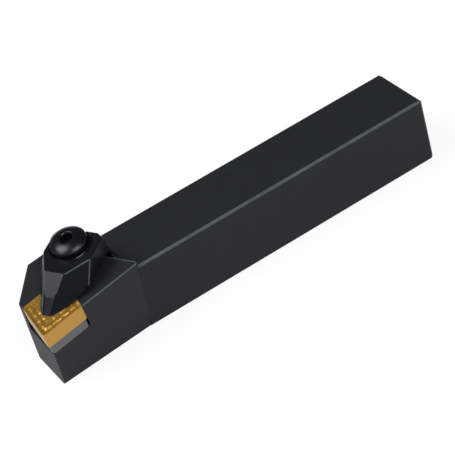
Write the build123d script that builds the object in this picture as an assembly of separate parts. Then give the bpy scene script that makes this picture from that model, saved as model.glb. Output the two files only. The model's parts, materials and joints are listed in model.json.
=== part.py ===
from build123d import *
import math
import os

# Turning tool holder with a square shank, a tilted rhombic insert on a seat shim, and a double clamp.
# X runs from the shank's rear end to the cutting point, Y to the side that the head protrudes on,
# Z up. The origin is the centre of the rear end. Millimetres and degrees.

# Shank
shank_width = 20.0
shank_height = 20.0
total_length = 125.0
shank_edge = 0.6
rear_edge = 0.8

# Cutting point, measured as for any such holder
point_offset = 25.0
point_height = 20.0
edge_relief = 5.0
seat_tilt = 6.0

# Insert
insert_circle = 12.7
insert_thickness = 4.76
insert_corner = 80.0
insert_nose = 0.8
insert_hole = 5.16
insert_hole_edge = 0.35
land_width = 0.3
groove_width = 1.9
groove_depth = 0.26
groove_slope = 30.0

# Shim and its screw
shim_thickness = 3.18
shim_margin = 0.4
shim_hole = 4.5
shim_screw_thread = 4.0
shim_screw_head = 6.4
shim_screw_length = 9.0
shim_screw_sink = 0.25
shim_screw_key = 2.0
shim_screw_key_depth = 1.3
shim_bore_spare = 1.2

# Head flats and pocket
head_length = 31.0
flank_margin = 0.3
side_lean = 7.4
top_margin = 0.3
front_setback = 0.8
front_plan = 1.3
front_lean = 2.2
corner_cut_plan = 40.6
corner_cut_lean = 3.1
corner_cut_at = 9.5
head_edge = 0.3
pocket_relief = 1.3

# Ramp that the clamp's foot slides on
ramp_start = 3.3
ramp_slope = 46.5

# Clamp, in its own frame: along the nose, across it, and square to the insert's top
clamp_heading = 31.3
clamp_reach = 15.6
clamp_height = 6.75
clamp_base = 1.75
clamp_near_width = 7.75
clamp_far_width = 6.35
clamp_rear = 5.35
clamp_corner_along = 1.25
clamp_corner_across = 2.2
clamp_draft = 2.0
clamp_shoulder = 0.5
clamp_edge = 0.22
near_cheek_splay = 36.1
near_cheek_lean = 35.0
far_cheek_splay = 30.0
far_cheek_lean = 30.9
brow_length = 5.35
brow_near_width = 3.25
brow_far_width = 2.9
brow_edge = 0.3
brow_end_height = 3.0
nose_slope_length = 3.7
nose_reach = 3.1
nose_round = 2.2
pad_lead = 1.2
arch_end = 7.9
peg_radius = 1.9
peg_depth = 1.5
peg_gap = 0.15
foot_start = 4.2

# Clamp screw and spring
screw_thread = 6.0
screw_length = 20.0
screw_bore_spare = 3.5
screw_hole = 6.6
spot_face_radius = 5.65
spot_face_depth = 0.7
spot_face_edge = 0.15
screw_foot_radius = 5.2
screw_rim_radius = 4.95
screw_rim_height = 2.15
screw_head_height = 3.75
screw_crown_radius = 2.4
screw_crown_bulge = 0.25
screw_rim_round = 0.3
screw_key = 3.0
screw_key_depth = 2.6
screw_key_edge = 0.2
screw_play_along = 0.12
screw_play_across = -0.16
screw_tip_edge = 0.8
spring_wire = 0.6
spring_turns = 3.0
spring_gap = 0.1
spring_room = 0.45
spring_pocket_depth = 1.8
spring_sides = 10
running_gap = 0.05
drill_point = 59.0

# Places worked out from the sizes above
half_corner = math.radians(insert_corner / 2)
rise = math.tan(math.radians(seat_tilt))
up = Vector(rise, rise, 1).normalized()
heel_turn = math.radians(edge_relief + insert_corner / 2)
heel_plan = Vector(-math.cos(heel_turn), -math.sin(heel_turn), 0)
heel = (heel_plan - up * heel_plan.dot(up)).normalized()
side_offset = point_offset - shank_width / 2
nose_centre = Vector(total_length - insert_nose, side_offset - insert_nose, point_height)
sharp_corner = nose_centre - heel * (insert_nose / math.sin(half_corner))
seat = Plane(origin=sharp_corner, x_dir=heel, z_dir=up)
insert_middle = insert_circle / 2 / math.sin(half_corner)
floor_depth = insert_thickness + shim_thickness
head_start = total_length - head_length

heading_turn = math.radians(clamp_heading)
heading = Vector(math.cos(heading_turn), math.sin(heading_turn), 0)
along = (heading - up * heading.dot(up)).normalized()
insert_axis = seat.from_local_coords(Vector(insert_middle, 0, 0))
clamp_frame = Plane(origin=insert_axis - along * clamp_reach, x_dir=along, z_dir=up)
screw_axis = clamp_frame.from_local_coords(Vector(screw_play_along, screw_play_across, 0))
screw_frame = Plane(origin=screw_axis, x_dir=along, z_dir=up)
nose_end = clamp_reach + nose_reach
brow_end = nose_end - nose_slope_length
brow_at = brow_end - brow_length
spot_floor = clamp_height - spot_face_depth
bore_bottom = spot_floor - screw_length - screw_bore_spare
spring_radius = screw_thread / 2 + spring_gap + spring_wire / 2
spring_top = clamp_base + spring_pocket_depth


def leaning(point, plan_angle, lean_angle):
    """Upright flat through a point, facing a plan angle and then leaning back by an angle."""
    plan = math.radians(plan_angle)
    lean = math.radians(lean_angle)
    level = math.cos(lean)
    facing = Vector(math.cos(plan) * level, math.sin(plan) * level, math.sin(lean))
    return Plane(origin=point, z_dir=facing)


# Flats of the head, each as a plane that faces outwards
side_flat = leaning(sharp_corner, 90 + edge_relief, -side_lean).offset(-flank_margin)
top_flat = Plane(origin=sharp_corner, z_dir=up).offset(-top_margin)
front_flat = leaning(
    (total_length - front_setback, side_offset, point_height), -front_plan, -front_lean
)
corner_flat = leaning(
    (total_length - corner_cut_at, -shank_width / 2, point_height),
    -corner_cut_plan,
    corner_cut_lean,
)
ramp_turn = math.radians(ramp_slope)
ramp_flat = Plane(
    origin=clamp_frame.from_local_coords(Vector(-ramp_start, 0, -top_margin)),
    z_dir=up * math.cos(ramp_turn) - along * math.sin(ramp_turn),
)
bottom_flat = Plane(origin=(0, 0, 0), z_dir=(0, 0, -1))
far_flat = Plane(origin=(0, -shank_width / 2, 0), z_dir=(0, -1, 0))
step_flat = Plane(origin=(head_start, 0, 0), z_dir=(-1, 0, 0))


def beyond(flat):
    """Everything on the outer side of a flat."""
    reach = 3 * total_length
    return flat * Box(reach, reach, reach, align=(Align.CENTER, Align.CENTER, Align.MIN))


def eased(first, second, leg):
    """Flat that takes off the edge where two flats meet, by a leg along each of them."""
    likeness = first.z_dir.dot(second.z_dir)
    within = second.z_dir - first.z_dir * likeness
    step = (second.origin - first.origin).dot(second.z_dir) / (1 - likeness**2)
    outward = (first.z_dir + second.z_dir).normalized()
    depth = leg * math.sqrt((1 - likeness) / 2)
    return Plane(origin=first.origin + within * step - outward * depth, z_dir=outward)


def lies_on(edge, flat):
    return all(abs(flat.to_local_coords(edge @ share).Z) < 0.001 for share in (0, 0.5, 1))


def edges_between(part, first, second):
    return part.edges().filter_by(lambda e: lies_on(e, first) and lies_on(e, second))


def rod(radius, bottom, top):
    """An upright round rod between two heights."""
    return Pos(0, 0, bottom) * Cylinder(
        radius, top - bottom, align=(Align.CENTER, Align.CENTER, Align.MIN)
    )


def cone(bottom_radius, top_radius, bottom, top):
    return Pos(0, 0, bottom) * Cone(
        bottom_radius,
        top_radius,
        top - bottom,
        align=(Align.CENTER, Align.CENTER, Align.MIN),
    )


def hexagon(across_flats, bottom, top):
    """An upright six-sided prism between two heights."""
    corner = across_flats / 2 / math.cos(math.pi / 6)
    return Pos(0, 0, bottom) * extrude(RegularPolygon(corner, 6), top - bottom)


def rhombus(inner_radius):
    """The insert's outline about its own middle, with its sharp corners on the X axis."""
    long_half = inner_radius / math.sin(half_corner)
    short_half = inner_radius / math.cos(half_corner)
    return Polygon(
        (-long_half, 0), (0, -short_half), (long_half, 0), (0, short_half), align=None
    )


def rounded_rhombus(inner_radius, corner_radius):
    outline = rhombus(inner_radius)
    return fillet(outline.vertices(), corner_radius)


def make_shank():
    bar = Box(
        head_start + shank_edge,
        shank_width,
        shank_height,
        align=(Align.MIN, Align.CENTER, Align.MIN),
    )
    bar = chamfer(bar.edges().filter_by(Axis.X), shank_edge)
    return chamfer(bar.faces().sort_by(Axis.X)[0].edges(), rear_edge)


def make_head():
    """Block bounded by flats that are milled parallel to the tilted insert, with eased edges."""
    room = 2 * shank_height
    block = Pos(head_start, -shank_width / 2, 0) * Box(
        head_length + room, shank_width + room, room, align=Align.MIN
    )
    flats = [side_flat, top_flat, front_flat, corner_flat, ramp_flat]
    flats.append(eased(bottom_flat, far_flat, shank_edge))
    for first, second in (
        (side_flat, top_flat),
        (side_flat, bottom_flat),
        (side_flat, front_flat),
        (side_flat, step_flat),
        (front_flat, bottom_flat),
        (front_flat, corner_flat),
        (corner_flat, top_flat),
        (corner_flat, bottom_flat),
        (top_flat, ramp_flat),
    ):
        flats.append(eased(first, second, head_edge))
    for flat in flats:
        block -= beyond(flat)
    return block


def make_pocket():
    """Space for shim and insert, open to the front and to the side, relieved in its corner."""
    inner_radius = insert_circle
    tall = floor_depth + shank_height
    back = 2 * insert_middle
    reach = inner_radius / math.sin(half_corner)
    room = Pos(back - reach, 0, -floor_depth) * extrude(rhombus(inner_radius), tall)
    relief = Pos(back - pocket_relief / 2, 0, 0) * rod(pocket_relief, -floor_depth, tall)
    return seat * (room + relief)


def make_bores():
    point = (screw_thread / 2) / math.tan(math.radians(drill_point))
    clamp_bore = rod(screw_thread / 2 + running_gap, bore_bottom, clamp_height)
    clamp_bore += cone(0, screw_thread / 2 + running_gap, bore_bottom - point, bore_bottom)
    shim_bottom = -insert_thickness - shim_screw_sink - shim_screw_length - shim_bore_spare
    shim_bore = rod(shim_screw_thread / 2 + running_gap, shim_bottom, -floor_depth)
    return screw_frame * clamp_bore + seat * Pos(insert_middle, 0, 0) * shim_bore


def make_holder():
    body = make_shank() + make_head()
    return body - make_pocket() - make_bores()


def make_groove():
    """Chip groove that leaves a land along the cutting edges and a flat island inside."""
    spread = groove_depth / math.tan(math.radians(groove_slope))
    outer = insert_circle / 2 - land_width
    inner = outer - groove_width
    basin = loft(
        [
            Pos(0, 0, -groove_depth) * rounded_rhombus(outer - spread, insert_nose),
            rounded_rhombus(outer, insert_nose),
        ],
        ruled=True,
    )
    island = loft(
        [
            Pos(0, 0, -groove_depth) * rounded_rhombus(inner + spread, 2 * insert_nose),
            rounded_rhombus(inner, 2 * insert_nose),
        ],
        ruled=True,
    )
    return basin - island


def make_insert():
    body = extrude(rounded_rhombus(insert_circle / 2, insert_nose), -insert_thickness)
    groove = make_groove()
    body -= groove
    body -= Pos(0, 0, -insert_thickness) * Rot(180, 0, 0) * groove
    body -= rod(insert_hole / 2, -insert_thickness, 0)
    rim = insert_hole / 2 + insert_hole_edge
    body -= cone(insert_hole / 2, rim, -insert_hole_edge, 0)
    body -= cone(rim, insert_hole / 2, -insert_thickness, insert_hole_edge - insert_thickness)
    return seat * Pos(insert_middle, 0, 0) * body


def make_shim():
    body = extrude(rounded_rhombus(insert_circle / 2 - shim_margin, insert_nose), -shim_thickness)
    body -= rod(shim_hole / 2, -shim_thickness, 0)
    sink_radius = shim_screw_head / 2 + shim_screw_sink + running_gap
    body -= cone(shim_hole / 2, sink_radius, shim_hole / 2 - sink_radius, 0)
    return seat * Pos(insert_middle, 0, -insert_thickness) * body


def make_shim_screw():
    taper = (shim_screw_head - shim_screw_thread) / 2
    body = cone(shim_screw_thread / 2, shim_screw_head / 2, -taper, 0)
    body += rod(shim_screw_thread / 2, -shim_screw_length, -taper)
    body -= hexagon(shim_screw_key, -shim_screw_key_depth, 0)
    return seat * Pos(insert_middle, 0, -insert_thickness - shim_screw_sink) * body


def cheek(brow_width, side, splay_angle, lean_angle):
    """Flat beside the brow, turned outwards by the splay and tilted by the lean."""
    facing = (math.tan(math.radians(splay_angle)), side, math.tan(math.radians(lean_angle)))
    return Plane(origin=(brow_at, side * brow_width, clamp_height), z_dir=facing)


def nose_corner_radius():
    """Rounding of the nose's corners, kept within the width that the cheeks leave at its foot."""
    width = brow_near_width + brow_far_width
    taken = 0
    for splay_angle, lean_angle in (
        (near_cheek_splay, near_cheek_lean),
        (far_cheek_splay, far_cheek_lean),
    ):
        width -= math.tan(math.radians(splay_angle)) * (nose_end - brow_at)
        width += math.tan(math.radians(lean_angle)) * clamp_height
        taken += math.tan(math.radians(90 - splay_angle) / 2)
    return min(nose_round, 0.9 * width / taken)


def make_underside():
    """Space below the clamp: level under the arch, down to the insert at the pad, sloped at the foot."""
    low = -2 * clamp_reach
    fall = math.tan(ramp_turn)
    heel_end = 2 * clamp_rear
    outline = Polyline(
        (-foot_start, clamp_base),
        (arch_end, clamp_base),
        (clamp_reach - pad_lead, 0),
        (2 * nose_end, 0),
        (2 * nose_end, low),
        (-heel_end, low),
        (-heel_end, (ramp_start - heel_end) * fall - top_margin),
        (-foot_start, (ramp_start - foot_start) * fall - top_margin),
        close=True,
    )
    return extrude(Plane.XZ * make_face(outline), 4 * clamp_near_width, both=True)


def make_bridge():
    """The clamp's form: drafted walls, a round far end, the underside, then the flats of the nose."""
    plateau = Plane(origin=(0, 0, clamp_height), z_dir=(0, 0, 1))
    corner_turn = math.degrees(math.atan2(clamp_corner_along, clamp_corner_across))
    corner_at = (clamp_corner_along - clamp_rear, clamp_near_width, clamp_height)
    near_wall = leaning((0, clamp_near_width, clamp_height), 90, clamp_draft)
    far_wall = leaning((0, -clamp_far_width, clamp_height), -90, clamp_draft)
    rear_wall = leaning((-clamp_rear, 0, clamp_height), 180, clamp_draft)
    corner_wall = leaning(corner_at, 180 - corner_turn, clamp_draft)
    body = rod(2 * nose_end, -clamp_reach, 2 * clamp_height) - beyond(plateau)
    for wall in (near_wall, far_wall, rear_wall, corner_wall):
        body -= beyond(wall)
    shoulders = (near_wall, rear_wall, corner_wall)
    rim = [e for wall in shoulders for e in edges_between(body, plateau, wall)]
    body = fillet(rim, clamp_shoulder)
    spread = clamp_far_width + (clamp_height + clamp_reach) * math.tan(math.radians(clamp_draft))
    far_end = cone(spread, clamp_far_width, -clamp_reach, clamp_height)
    room = 4 * nose_end
    corner_block = Box(room, room, room, align=(Align.MAX, Align.MAX, Align.CENTER))
    body -= corner_block - far_end
    body -= make_underside()

    brow_point = (brow_at, 0, clamp_height)
    brow = Plane(
        origin=brow_point, z_dir=(clamp_height - brow_end_height, 0, brow_end - brow_at)
    )
    front = Plane(origin=(nose_end, 0, 0), z_dir=(brow_end_height, 0, nose_end - brow_end))
    near_cheek = cheek(brow_near_width, 1, near_cheek_splay, near_cheek_lean)
    far_cheek = cheek(brow_far_width, -1, far_cheek_splay, far_cheek_lean)
    for flat in (front, near_cheek, far_cheek):
        body -= beyond(flat)
    tip = edges_between(body, front, near_cheek) + edges_between(body, front, far_cheek)
    body = fillet(tip, nose_corner_radius()) - beyond(brow)
    for side, wall in ((near_cheek, near_wall), (far_cheek, far_wall)):
        body -= beyond(eased(side, plateau, clamp_edge))
        body -= beyond(eased(side, wall, clamp_edge))
        body -= beyond(eased(side, brow, brow_edge))
    return body


def make_clamp():
    """Bridge with a peg for the insert's hole, a spot face for the screw and a pocket for the spring."""
    low = -2 * clamp_reach
    peg_at = clamp_reach - (insert_hole / 2 - peg_radius - peg_gap)
    body = make_bridge()
    body += Pos(peg_at, 0, 0) * rod(peg_radius, -peg_depth, clamp_base / 2)
    body -= rod(screw_hole / 2, low, clamp_height)
    body -= rod(spot_face_radius, spot_floor, clamp_height)
    body -= cone(
        spot_face_radius,
        spot_face_radius + spot_face_edge,
        clamp_height - spot_face_edge,
        clamp_height,
    )
    body -= rod(spring_radius + spring_wire / 2 + spring_room, low, spring_top)
    return clamp_frame * body


def make_clamp_screw():
    """Domed head on a narrower foot, and a plain rod for the thread."""
    mid_radius = (screw_rim_radius + screw_crown_radius) / 2 + screw_crown_bulge
    mid_height = (screw_rim_height + screw_head_height) / 2 + screw_crown_bulge
    outline = Polyline(
        (screw_crown_radius, screw_head_height),
        (0, screw_head_height),
        (0, -screw_length),
        (screw_thread / 2 - screw_tip_edge, -screw_length),
        (screw_thread / 2, screw_tip_edge - screw_length),
        (screw_thread / 2, 0),
        (screw_foot_radius, 0),
        (screw_rim_radius, screw_rim_height),
    ) + ThreePointArc(
        (screw_rim_radius, screw_rim_height),
        (mid_radius, mid_height),
        (screw_crown_radius, screw_head_height),
    )
    body = revolve(Plane.XZ * make_face(outline), Axis.Z)
    rim = body.edges().filter_by(GeomType.CIRCLE).filter_by(
        lambda e: abs(e.radius - screw_rim_radius) < 0.001
    )
    body = fillet(rim, screw_rim_round)
    body -= hexagon(screw_key, screw_head_height - screw_key_depth, screw_head_height)
    mouth = screw_key / 2 / math.cos(math.pi / 6) + screw_key_edge
    body -= cone(0, mouth, screw_head_height - mouth, screw_head_height)
    return screw_frame * Pos(0, 0, spot_floor) * body


def make_spring():
    """Coil between the head's top and the pocket in the clamp's underside."""
    climb = spring_top + top_margin - spring_wire
    path = Helix(pitch=climb / spring_turns, height=climb, radius=spring_radius)
    section = Plane(origin=path @ 0, z_dir=path % 0) * RegularPolygon(
        spring_wire / 2, spring_sides
    )
    coil = sweep(section, path, is_frenet=True)
    return screw_frame * Pos(0, 0, spring_wire / 2 - top_margin) * coil


parts = {
    "holder": make_holder(),
    "insert": make_insert(),
    "shim": make_shim(),
    "shim_screw": make_shim_screw(),
    "clamp": make_clamp(),
    "clamp_screw": make_clamp_screw(),
    "clamp_spring": make_spring(),
}

os.makedirs("parts", exist_ok=True)
for name, solid in parts.items():
    export_step(Pos(0, 0, -shank_height / 2) * solid, f"parts/{name}.step")
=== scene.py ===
import json
import math

import bmesh
import bpy
import numpy as np
from mathutils import Matrix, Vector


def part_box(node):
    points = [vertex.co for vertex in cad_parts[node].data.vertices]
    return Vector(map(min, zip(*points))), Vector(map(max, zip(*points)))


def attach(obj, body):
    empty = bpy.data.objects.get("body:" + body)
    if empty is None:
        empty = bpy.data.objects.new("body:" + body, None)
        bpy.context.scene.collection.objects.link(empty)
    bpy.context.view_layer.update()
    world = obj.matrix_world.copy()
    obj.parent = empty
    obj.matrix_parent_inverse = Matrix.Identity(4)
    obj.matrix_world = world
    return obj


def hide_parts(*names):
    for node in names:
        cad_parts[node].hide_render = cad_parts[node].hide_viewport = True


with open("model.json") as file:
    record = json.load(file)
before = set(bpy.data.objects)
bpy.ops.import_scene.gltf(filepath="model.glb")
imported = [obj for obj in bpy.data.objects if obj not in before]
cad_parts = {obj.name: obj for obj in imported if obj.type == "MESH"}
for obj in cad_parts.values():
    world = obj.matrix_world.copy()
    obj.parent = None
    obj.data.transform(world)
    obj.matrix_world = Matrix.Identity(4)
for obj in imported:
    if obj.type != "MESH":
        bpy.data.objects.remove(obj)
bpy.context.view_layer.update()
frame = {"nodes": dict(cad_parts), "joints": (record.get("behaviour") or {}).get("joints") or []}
nodes = frame["nodes"]


# Camera
# A long lens above the head's side, beyond the tip, tilted a little. Its place, turn and
# length were worked out from the shank's edges, the cutting point and the outline.
camera_place = (0.24007, 0.42756, 0.34007)
camera_azimuth = 157.366
camera_elevation = 36.442
camera_roll = -16.551
camera_lens = 168.24
camera_sensor = 36

camera = bpy.data.objects.new("camera", bpy.data.cameras.new("camera"))
camera.data.lens = camera_lens
camera.data.sensor_width = camera_sensor
camera.matrix_world = (
    Matrix.Translation(camera_place)
    @ Matrix.Rotation(math.radians(camera_azimuth), 4, "Z")
    @ Matrix.Rotation(math.radians(90 - camera_elevation), 4, "X")
    @ Matrix.Rotation(math.radians(camera_roll), 4, "Z")
)
bpy.context.scene.collection.objects.link(camera)
bpy.context.scene.camera = camera


# Studio
# A white table in a dim room and two wide soft lamps: one high before the tip, which shines in
# the clamp's brow and the screw, and a cooler one high beside the head, for its near edges.
table_size = 3.0
table_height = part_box("holder")[0].z
table_glow = 0.9
table_in_mirrors = 0.62
room_light = 0.25
head_place = (0.1, 0, 0)
lamp_distance = 0.9


def linear(code):
    """A colour written as sRGB hex, turned to linear: a power law above a short straight toe."""
    parts = np.array([int(code[i : i + 2], 16) / 255 for i in (1, 3, 5)])
    toe = parts / 12.92
    curve = ((parts + 0.055) / 1.055) ** 2.4
    return (*np.where(parts <= 0.04045, toe, curve).tolist(), 1.0)


def add(tree, kind, inputs=(), **settings):
    """Adds a node with its settings, and fills its inputs with values or links them to sockets."""
    made = tree.nodes.new(kind)
    for name, value in settings.items():
        setattr(made, name, value)
    for name, value in dict(inputs).items():
        if isinstance(value, bpy.types.NodeSocket):
            tree.links.new(value, made.inputs[name])
        else:
            made.inputs[name].default_value = value
    return made


def surface_mesh(name, points, faces):
    """A mesh object at the origin from an array of points in metres and an array of faces."""
    mesh = bpy.data.meshes.new(name)
    mesh.from_pydata(points.tolist(), [], faces.tolist())
    made = bpy.data.objects.new(name, mesh)
    bpy.context.scene.collection.objects.link(made)
    return made


view = bpy.context.scene.view_settings
view.view_transform = "Standard"

corners = np.array([(-1, -1, 0), (1, -1, 0), (1, 1, 0), (-1, 1, 0)]) * table_size / 2
table = surface_mesh("table", corners + (0, 0, table_height), np.array([(0, 1, 2, 3)]))
white_table = bpy.data.materials.new("white_table")
white_table.use_nodes = True
tree = white_table.node_tree
tree.nodes.clear()
path = add(tree, "ShaderNodeLightPath")
mirrored = add(
    tree,
    "ShaderNodeMath",
    {0: path.outputs["Is Glossy Ray"], 1: path.outputs["Is Transmission Ray"]},
    operation="MAXIMUM",
)
seen = add(
    tree,
    "ShaderNodeMath",
    {0: mirrored.outputs[0], 1: table_in_mirrors, 2: path.outputs["Is Camera Ray"]},
    operation="MULTIPLY_ADD",
)
paint = add(tree, "ShaderNodeBsdfDiffuse", {"Color": linear("#f0f0f0")})
shaded = add(tree, "ShaderNodeBsdfDiffuse", {"Color": linear("#6e6e6e")})
glow = add(tree, "ShaderNodeEmission", {"Color": linear("#ffffff"), "Strength": table_glow})
bright = add(tree, "ShaderNodeAddShader", {0: shaded.outputs[0], 1: glow.outputs[0]})
both = add(
    tree,
    "ShaderNodeMixShader",
    {0: seen.outputs[0], 1: paint.outputs[0], 2: bright.outputs[0]},
)
add(tree, "ShaderNodeOutputMaterial", {"Surface": both.outputs[0]})
table.data.materials.append(white_table)

room = bpy.data.worlds.new("room")
bpy.context.scene.world = room
room.use_nodes = True
background = room.node_tree.nodes["Background"]
background.inputs["Color"].default_value = linear("#8c949c")
background.inputs["Strength"].default_value = room_light


def soft_lamp(name, azimuth, elevation, size, power, colour):
    """A square lamp on a sphere about the tool's head, facing the head."""
    lamp = bpy.data.objects.new(name, bpy.data.lights.new(name, "AREA"))
    lamp.data.size = size
    lamp.data.energy = power
    lamp.data.color = linear(colour)[:3]
    lamp.matrix_world = (
        Matrix.Translation(head_place)
        @ Matrix.Rotation(math.radians(azimuth), 4, "Z")
        @ Matrix.Rotation(math.radians(90 - elevation), 4, "X")
        @ Matrix.Translation((0, 0, lamp_distance))
    )
    bpy.context.scene.collection.objects.link(lamp)


soft_lamp("tip_lamp", azimuth=75, elevation=58, size=0.58, power=4.9, colour="#fbfcff")
soft_lamp("edge_lamp", azimuth=190, elevation=46, size=0.5, power=3.5, colour="#e8f0ff")


# Holder
# One bar of tempered alloy steel, milled and ground, then blackened in a hot bath and
# oiled. The black skin is thin, so it is dark but a little glossy. Its eased edges get a
# paler tone: a painted highlight, and in part skin rubbed thin.
def finish_node(name, material):
    """Puts a material in every slot of a CAD node."""
    for place in nodes[name].material_slots:
        place.material = material


def unit(vector):
    """The vector over its length."""
    return np.array(vector, float) / np.linalg.norm(vector)


def facing(turn, lean):
    """Direction at a turn about Z from +X and a lean above level, both in degrees."""
    turn, lean = math.radians(turn), math.radians(lean)
    level = math.cos(lean)
    return np.array([math.cos(turn) * level, math.sin(turn) * level, math.sin(lean)])


mix_first, mix_second, mix_result = 6, 7, 2
likeness_of_edge = 0.995
shine_spread = 0.05
grain_strength = 0.5


def blackened_steel(
    name,
    colour,
    flecks,
    gloss,
    rough,
    fleck_size,
    grain_size,
    grain_depth,
    highlight_and_wear_colour=None,
    edges=(),
):
    """Hot blackened and oiled steel: nearly black, a little glossy, never quite even.

    Two close tones are mixed by soft noise and a fine grain is bump. A paler tone is painted on
    the narrow flats that face the given ways: a painted highlight on the eased edges, and in part
    skin rubbed thin, in patches by the same noise. The grain is drawn a few times coarser than
    the real one, so that it shows.
    """
    material = bpy.data.materials.new(name)
    material.use_nodes = True
    tree = material.node_tree
    tree.nodes.clear()
    place = add(tree, "ShaderNodeTexCoord")
    patches = add(
        tree,
        "ShaderNodeTexNoise",
        {
            "Vector": place.outputs["Object"],
            "Scale": 1 / fleck_size,
            "Detail": 6.0,
            "Roughness": 0.65,
        },
    )
    tone = add(
        tree,
        "ShaderNodeMix",
        {
            "Factor": patches.outputs["Fac"],
            mix_first: linear(colour),
            mix_second: linear(flecks),
        },
        data_type="RGBA",
    )
    # Noise patches set the painted edge highlight between half and full strength.
    highlight_patches = add(
        tree,
        "ShaderNodeMapRange",
        {
            "Value": patches.outputs["Fac"],
            "From Min": 0.3,
            "From Max": 0.6,
            "To Min": 0.5,
            "To Max": 1.0,
        },
    )
    flat = add(tree, "ShaderNodeNewGeometry")
    # Each given way marks an eased-edge flat, which gets the paler painted highlight tone.
    for way in edges:
        likeness = add(
            tree,
            "ShaderNodeVectorMath",
            {0: flat.outputs["True Normal"], 1: tuple(way)},
            operation="DOT_PRODUCT",
        )
        edge = add(
            tree,
            "ShaderNodeMath",
            {0: likeness.outputs["Value"], 1: likeness_of_edge},
            operation="GREATER_THAN",
        )
        edge_highlight = add(
            tree,
            "ShaderNodeMath",
            {0: edge.outputs[0], 1: highlight_patches.outputs[0]},
            operation="MULTIPLY",
        )
        tone = add(
            tree,
            "ShaderNodeMix",
            {
                "Factor": edge_highlight.outputs[0],
                mix_first: tone.outputs[mix_result],
                mix_second: linear(highlight_and_wear_colour),
            },
            data_type="RGBA",
        )
    shine = add(
        tree,
        "ShaderNodeMapRange",
        {
            "Value": patches.outputs["Fac"],
            "To Min": rough - shine_spread,
            "To Max": rough + shine_spread,
        },
    )
    grain = add(
        tree,
        "ShaderNodeTexNoise",
        {"Vector": place.outputs["Object"], "Scale": 1 / grain_size, "Detail": 3.0},
    )
    bump = add(
        tree,
        "ShaderNodeBump",
        {"Height": grain.outputs["Fac"], "Distance": grain_depth, "Strength": grain_strength},
    )
    skin = add(
        tree,
        "ShaderNodeBsdfPrincipled",
        {
            "Base Color": tone.outputs[mix_result],
            "Roughness": shine.outputs["Result"],
            "Normal": bump.outputs["Normal"],
            "IOR": gloss,
        },
    )
    add(tree, "ShaderNodeOutputMaterial", {"Surface": skin.outputs[0]})
    return material


# The eased edges, which get the painted highlight: four along the shank, three round the head's
# side, and the top of the ramp, which lies halfway between the tilted top and the slope under the
# clamp's foot.
tilt_axis = np.array(frame["joints"][0]["axis"])
head_side = facing(95, -7.4)
head_front = facing(-1.3, -2.2)
ramp_slope = 46.5
clamp_along = facing(31.3, 0)
clamp_along = unit(clamp_along - tilt_axis * (clamp_along @ tilt_axis))
half_slope = math.radians(ramp_slope / 2)
holder_edges = [unit((0, y, z)) for y in (-1, 1) for z in (-1, 1)]
holder_edges += [unit(head_side + other) for other in (tilt_axis, head_front, (0, 0, -1))]
holder_edges += [tilt_axis * math.cos(half_slope) - clamp_along * math.sin(half_slope)]
holder_steel = blackened_steel(
    "blackened_holder_steel",
    colour="#262a2b",
    flecks="#2d3132",
    gloss=1.31,
    rough=0.52,
    fleck_size=0.004,
    grain_size=0.00025,
    grain_depth=0.00001,
    # Paler tone on the eased edges: a painted highlight, partly rubbed skin.
    highlight_and_wear_colour="#5e6568",
    edges=holder_edges,
)
finish_node("holder", holder_steel)


# Shim
# A plate of sintered carbide under the insert, ground flat and left bare. It lies on the
# pocket's floor and takes the cutting force.
carbide_grit = 0.0004
carbide_grit_depth = 0.00001


def ground_carbide():
    """Ground sintered carbide: mid grey, satin and even, half way to a metal's sheen.

    The real grit is some microns wide, and is drawn at 0.4 mm so that it shows at all.
    """
    material = bpy.data.materials.new("ground_carbide")
    material.use_nodes = True
    tree = material.node_tree
    tree.nodes.clear()
    place = add(tree, "ShaderNodeTexCoord")
    grit = add(
        tree,
        "ShaderNodeTexNoise",
        {"Vector": place.outputs["Object"], "Scale": 1 / carbide_grit, "Detail": 4.0},
    )
    tone = add(
        tree,
        "ShaderNodeMix",
        {
            "Factor": grit.outputs["Fac"],
            mix_first: linear("#6a6866"),
            mix_second: linear("#777573"),
        },
        data_type="RGBA",
    )
    bump = add(
        tree,
        "ShaderNodeBump",
        {"Height": grit.outputs["Fac"], "Distance": carbide_grit_depth, "Strength": 0.4},
    )
    skin = add(
        tree,
        "ShaderNodeBsdfPrincipled",
        {
            "Base Color": tone.outputs[mix_result],
            "Metallic": 0.5,
            "Roughness": 0.42,
            "Normal": bump.outputs["Normal"],
        },
    )
    add(tree, "ShaderNodeOutputMaterial", {"Surface": skin.outputs[0]})
    return material


finish_node("shim", ground_carbide())


# Shim screw
# A small countersunk screw of hardened steel, blackened, that holds the shim down. Its
# socket is reached through the insert's hole.
screw_steel = blackened_steel(
    "blackened_screw_steel",
    colour="#1c1f20",
    flecks="#242728",
    gloss=1.45,
    rough=0.3,
    fleck_size=0.002,
    grain_size=0.0002,
    grain_depth=0.000005,
)
finish_node("shim_screw", screw_steel)


# Insert
# Sintered carbide, pressed with a chip groove round its top and bottom, its edges honed round,
# then coated with a film of gold ceramic. The peg of the clamp pulls it into the pocket.
coating_grit = 0.0005
coating_grit_depth = 0.00001


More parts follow.
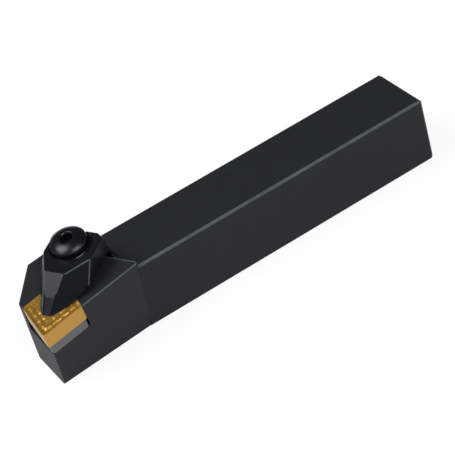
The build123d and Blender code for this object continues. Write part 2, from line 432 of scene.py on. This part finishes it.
def gold_coating():
    """Gold ceramic film on carbide: warm yellow, satin, with a soft second gloss over it.

    The real film is smooth to the eye. Its grain is drawn at 0.5 mm, to break the gloss a little.
    """
    material = bpy.data.materials.new("gold_ceramic_coating")
    material.use_nodes = True
    tree = material.node_tree
    tree.nodes.clear()
    place = add(tree, "ShaderNodeTexCoord")
    grit = add(
        tree,
        "ShaderNodeTexNoise",
        {"Vector": place.outputs["Object"], "Scale": 1 / coating_grit, "Detail": 4.0},
    )
    tone = add(
        tree,
        "ShaderNodeMix",
        {
            "Factor": grit.outputs["Fac"],
            mix_first: linear("#c48f33"),
            mix_second: linear("#d4a043"),
        },
        data_type="RGBA",
    )
    bump = add(
        tree,
        "ShaderNodeBump",
        {"Height": grit.outputs["Fac"], "Distance": coating_grit_depth, "Strength": 0.4},
    )
    skin = add(
        tree,
        "ShaderNodeBsdfPrincipled",
        {
            "Base Color": tone.outputs[mix_result],
            "Metallic": 0.62,
            "Roughness": 0.34,
            "Normal": bump.outputs["Normal"],
            "Coat Weight": 0.3,
            "Coat Roughness": 0.3,
        },
    )
    add(tree, "ShaderNodeOutputMaterial", {"Surface": skin.outputs[0]})
    return material


insert_circle = 6.35
insert_nose = 0.8
insert_thickness = 4.76
insert_hole = 2.58
insert_hole_edge = 0.35
insert_half_corner = math.radians(40)
insert_heading = 45
fold_softness = 0.3
groove_depth = 0.34
groove_start = 0.12
groove_front = 1.0
groove_back = 1.05
groove_rise = 0.56
rise_swing = 0.2
wave_length = 2.7
wave_height = 0.07
ripple_share = 0.35
ripple_rate = 2.35
hill_height = 0.03
hill_place = 0.95
hill_width = 0.35
dip_depth = 0.14444
dip_swing = 0.04444
dip_place = 2.5
dip_width = 0.42
hone = 0.04
hone_steps = (30, 60, 90)
arc_points = 60
outline_points = 480
top_rings = 44
wall_rings = 5
crisp_angle = 32


def inward_distance(x, y):
    """How far a point lies inside the rounded rhombus, and its place along the nearest side.

    The plane is folded onto one quarter, softly at the folds. There one side's line gives the
    distance, and beyond the line's two ends the corner circle does.
    """
    x, y = np.hypot(x, fold_softness), np.hypot(y, fold_softness)
    slope, level = math.sin(insert_half_corner), math.cos(insert_half_corner)
    core = insert_circle - insert_nose
    out = x * slope + y * level - core
    along = x * level - y * slope
    past = along - np.clip(along, -core * slope / level, core * level / slope)
    return insert_nose - np.where(out > 0, np.hypot(out, past), out), along


def ease(share):
    """Smooth step: three squares less two cubes of the share, held between 0 and 1."""
    share = np.clip(share, 0, 1)
    return share * share * (3 - 2 * share)


def slant(share):
    """A straight slope with softened ends: the mean of the share itself and its smooth step."""
    return (np.clip(share, 0, 1) + ease(share)) / 2


def bell(distance, width):
    """A soft mound: the exponential of minus the squared distance over the width."""
    return np.exp(-((distance / width) ** 2))


def pressed_face(x, y):
    """Height of the pressed top: a land, a long fall into the groove, a short rise to the middle.

    The rise stands nearer and farther from the edge in waves, and is steeper where it is near.
    Small hills lie in the groove between the waves, and a ring dips in the level middle.
    """
    inside, along = inward_distance(x, y)
    turn = 2 * math.pi * along / wave_length
    wave = np.cos(turn) + ripple_share * np.cos(ripple_rate * turn)
    shift = wave_height * wave
    fall = slant((inside - groove_start) / groove_front)
    rise = slant((inside - groove_back - shift) / (groove_rise * (1 + rise_swing * wave)))
    peak = 1 + ripple_share
    hills = hill_height * bell(inside - hill_place, hill_width) * (peak - wave) / (2 * peak)
    dip = bell(inside - dip_place - shift, dip_width) * (dip_depth + dip_swing * wave)
    return (hills - groove_depth * fall) * (1 - rise) - dip


def rhombus_outline(count):
    """Points of the rounded rhombus at even steps of its length: four lines joined by four arcs."""
    core = insert_circle - insert_nose
    long_half, short_half = core / math.sin(insert_half_corner), core / math.cos(insert_half_corner)
    tips = np.array([(long_half, 0), (0, short_half), (-long_half, 0), (0, -short_half)])
    side = math.pi / 2 - insert_half_corner
    marks = np.array([-side, side, math.pi - side, math.pi + side, 2 * math.pi - side])
    turn = np.linspace(marks[:-1], marks[1:], arc_points, axis=1)
    arcs = tips[:, None] + insert_nose * np.stack([np.cos(turn), np.sin(turn)], axis=2)
    dense = arcs.reshape(-1, 2)
    dense = np.vstack([dense, dense[:1]])
    run = np.concatenate([[0], np.cumsum(np.hypot(*np.diff(dense, axis=0).T))])
    even = np.linspace(0, run[-1], count, endpoint=False)
    return np.stack([np.interp(even, run, dense[:, 0]), np.interp(even, run, dense[:, 1])], axis=1)


def closed_grid_faces(rows, columns):
    """Four-cornered faces of a grid whose last row and last column join the first ones."""
    row, column = np.meshgrid(np.arange(rows), np.arange(columns), indexing="ij")
    next_row, next_column = (row + 1) % rows, (column + 1) % columns
    corners = [
        row * columns + column,
        row * columns + next_column,
        next_row * columns + next_column,
        next_row * columns + column,
    ]
    return np.stack(corners, axis=2).reshape(-1, 4)


def smooth_piece(name, points, faces, material):
    """A mesh object with rounded shading that stays crisp at its edges."""
    piece = surface_mesh(name, points, faces)
    piece.data.shade_smooth()
    piece.data.set_sharp_from_angle(angle=math.radians(crisp_angle))
    piece.data.materials.append(material)
    return piece


def pressed_insert():
    """Rings from the hole's rim over the top, down the flank, over the bottom and up the hole.

    A ring is a mix of the hole's circle and the outline, by a share that grows towards the edge,
    and the pressed face gives its height. A quarter circle hones the edge. The bottom is the top
    turned over.
    """
    outline = rhombus_outline(outline_points)
    round_way = outline / np.hypot(*outline.T)[:, None]
    rim = round_way * (insert_hole + insert_hole_edge)
    share = np.linspace(0, 1, top_rings)[:, None, None]
    shrunk = outline - round_way * hone
    top = rim * (1 - share) + shrunk * share
    height = pressed_face(top[..., 0], top[..., 1])
    height[[0, -1]] = 0
    half = insert_thickness / 2
    top = np.concatenate([top, (height + half)[..., None]], axis=2)
    bend = np.radians(hone_steps)[:, None, None]
    hones = shrunk + round_way * hone * np.sin(bend)
    hones = np.concatenate([hones, half - hone + hone * np.cos(bend) + 0 * hones[..., :1]], axis=2)
    upper = np.concatenate([top, hones])
    lower = upper[::-1] * (1, 1, -1)
    drops = np.linspace(half - 2 * hone, 2 * hone - half, wall_rings)[:, None, None]
    flank = np.concatenate([outline + 0 * drops, drops + 0 * outline[:, :1]], axis=2)
    wall = round_way * insert_hole
    steps = np.linspace(insert_hole_edge - half, half - insert_hole_edge, wall_rings)
    steps = steps[:, None, None]
    hole = np.concatenate([wall + 0 * steps, steps + 0 * wall[:, :1]], axis=2)
    rings = np.concatenate([upper, flank, lower, hole])
    heel = -facing(insert_heading, 0)
    heel = unit(heel - tilt_axis * (heel @ tilt_axis))
    across = np.cross(tilt_axis, heel)
    low, high = (np.array(corner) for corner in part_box("insert"))
    turned = rings @ np.array([heel, across, tilt_axis]) / 1000 + (low + high) / 2
    return turned.reshape(-1, 3), closed_grid_faces(len(rings), len(outline))[:, ::-1]


insert = smooth_piece("pressed_insert", *pressed_insert(), gold_coating())
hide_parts("insert")
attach(insert, "body")


# Clamp
# A forged steel bridge, milled on top and on the flats of its nose, and blackened finer than
# the holder. Its smooth flats mirror the lamps, and three of its edges get a paler tone: a
# painted highlight, and in part skin rubbed thin.
clamp_axes = np.array([clamp_along, np.cross(tilt_axis, clamp_along), tilt_axis])


def cheek(side, splay, lean):
    """Direction of a nose flat in the clamp's axes, from its splay and its lean in degrees."""
    return unit((math.tan(math.radians(splay)), side, math.tan(math.radians(lean))))


near_cheek, far_cheek = cheek(1, 36.1, 35.0), cheek(-1, 30.0, 30.9)
brow = unit((3.75, 0, 5.35))
near_wall = facing(90, 2)
# The three eased edges that get the painted highlight tone.
clamp_edges = [
    unit(near_cheek + (0, 0, 1)) @ clamp_axes,
    unit(near_cheek + near_wall) @ clamp_axes,
    unit(far_cheek + brow) @ clamp_axes,
]
clamp_steel = blackened_steel(
    "blackened_clamp_steel",
    colour="#14181a",
    flecks="#1a1e20",
    gloss=1.4,
    rough=0.28,
    fleck_size=0.003,
    grain_size=0.0002,
    grain_depth=0.000006,
    # Paler tone on the three edges: a painted highlight, partly rubbed skin.
    highlight_and_wear_colour="#5a6164",
    edges=clamp_edges,
)
finish_node("clamp", clamp_steel)


# Clamp screw and spring
# A screw of hardened steel with a thin flange, a conical band round its crown and a hexagon
# socket, blackened and oiled to a shine. The spring under the clamp is plain blackened wire.
clamp_screw_steel = blackened_steel(
    "oiled_screw_steel",
    colour="#0c1011",
    flecks="#121617",
    gloss=1.5,
    rough=0.28,
    fleck_size=0.003,
    grain_size=0.0003,
    grain_depth=0.000003,
)
screw_thread = 3.0
screw_pitch = 1.0
thread_depth = 0.55
thread_flank = 2.24
thread_root = 0.06
thread_play = 0.02
thread_rings = 14
thread_start = 0.5
run_out_start = 0.6
run_out_length = 1.5
screw_length = 20.0
screw_tip = 0.8
screw_seat = 6.05
foot_radius = 5.2
rim_radius = 5.05
rim_height = 2.4
head_height = 3.75
flange_height = 0.32
crown_radius = 2.4
band_radius = 3.2
band_height = 3.55
band_bulge = 0.085
band_points = 16
key_width = 3.0
key_depth = 2.6
key_edge = 0.2
key_cone = 0.5
head_sides = 144
seam_width = 1e-7


def arc_through(first, second, third, count):
    """Points of the circle through three points: its middle is as far from each of the three."""
    ends = np.array([first, second, third], float)
    middle = np.linalg.solve(2 * (ends[1:] - ends[0]), (ends[1:] ** 2 - ends[0] ** 2).sum(axis=1))
    turn = np.linspace(*np.arctan2(*(ends[[0, 2]] - middle).T[::-1]), count)
    reach = np.linalg.norm(ends[0] - middle)
    return middle + reach * np.stack([np.cos(turn), np.sin(turn)], axis=1)


def clamp_screw_surface():
    """A profile of radius and height carried round the axis, with a socket and a thread.

    The socket's rings follow a hexagon: its radius is the half width over the cosine of the turn
    from the nearest flat. The thread's rings are drawn in by a triangle wave of height and turn,
    which fades out below the head. Steps of a few hundredths round the profile's edges.
    """
    turn = np.linspace(0, 2 * math.pi, head_sides, endpoint=False)
    side_turn = math.pi / 3
    hexagon = key_width / 2 / np.cos((turn + side_turn / 2) % side_turn - side_turn / 2)
    mouth = key_width / 2 / math.cos(side_turn / 2) + key_edge
    level = np.ones(head_sides)
    floor = head_height - key_depth
    socket = [
        (level * 0, level * (floor - key_cone)),
        (hexagon * 0.9, level * floor),
        (hexagon, level * floor),
        (hexagon, level * (floor + 0.1)),
        (hexagon, head_height - mouth + hexagon - 0.05),
        (hexagon + 0.02, head_height - mouth + hexagon + 0.02),
        (level * (mouth - 0.03), level * (head_height - 0.03)),
        (level * (mouth + 0.03), level * head_height),
    ]
    bulge = (
        (rim_radius + band_radius) / 2 + band_bulge,
        (rim_height + band_height) / 2 + band_bulge,
    )
    band = arc_through((band_radius, band_height), bulge, (rim_radius, rim_height), band_points)
    crown = [
        (crown_radius - 0.15, head_height),
        (crown_radius + 0.1, head_height - 0.02),
        (band_radius - 0.35, band_height + 0.1),
        (band_radius - 0.06, band_height + 0.02),
    ]
    skirt = [
        (rim_radius - 0.07, rim_height + 0.12),
        (rim_radius - 0.01, rim_height - 0.08),
        (rim_radius, rim_height - 0.3),
        (rim_radius - 0.05, flange_height),
        (foot_radius - 0.01, flange_height - 0.18),
        (foot_radius, 0.05),
        (foot_radius - 0.06, 0.0),
        (screw_thread + 0.3, 0.0),
        (screw_thread + 0.05, -0.06),
        (screw_thread - thread_play, -0.3),
    ]
    outer = np.concatenate([crown, band[:-1], skirt])
    steps = np.arange(-thread_start, -screw_length, -screw_pitch / thread_rings)[:, None]
    wave = (steps / screw_pitch + turn / (2 * math.pi)) % 1
    cut = np.clip((1 + 2 * thread_root) - thread_flank * np.abs(wave - 0.5), 0, 1)
    fade = np.clip((-run_out_start - steps) / run_out_length, 0, 1)
    crest = np.minimum(
        screw_thread - thread_play, screw_length + steps + screw_thread - screw_tip
    )
    rod = crest - thread_depth * cut * fade
    rings = np.concatenate(
        [
            np.array(socket).transpose(0, 2, 1),
            outer[:, None, :] * np.ones((1, head_sides, 1)),
            np.stack([rod, steps * np.ones_like(rod)], axis=2),
            np.stack([level * 0, level * -screw_length], axis=1)[None],
        ]
    )
    spokes = np.stack([np.cos(turn), np.sin(turn)], axis=1)
    points = np.concatenate([rings[..., :1] * spokes, rings[..., 1:] + screw_seat], axis=2)
    side = unit(np.cross(tilt_axis, (0, 1, 0)))
    place = np.array(frame["joints"][1]["pos_m"])
    turned = points @ np.array([side, np.cross(tilt_axis, side), tilt_axis]) / 1000 + place
    faces = closed_grid_faces(len(rings), head_sides)[: (len(rings) - 1) * head_sides]
    return turned.reshape(-1, 3), faces


clamp_screw = smooth_piece("clamp_screw_piece", *clamp_screw_surface(), clamp_screw_steel)
close_up = bmesh.new()
close_up.from_mesh(clamp_screw.data)
bmesh.ops.remove_doubles(close_up, verts=close_up.verts, dist=seam_width)
bmesh.ops.recalc_face_normals(close_up, faces=close_up.faces)
close_up.to_mesh(clamp_screw.data)
close_up.free()
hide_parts("clamp_screw")
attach(clamp_screw, "screw")
finish_node("clamp_spring", screw_steel)
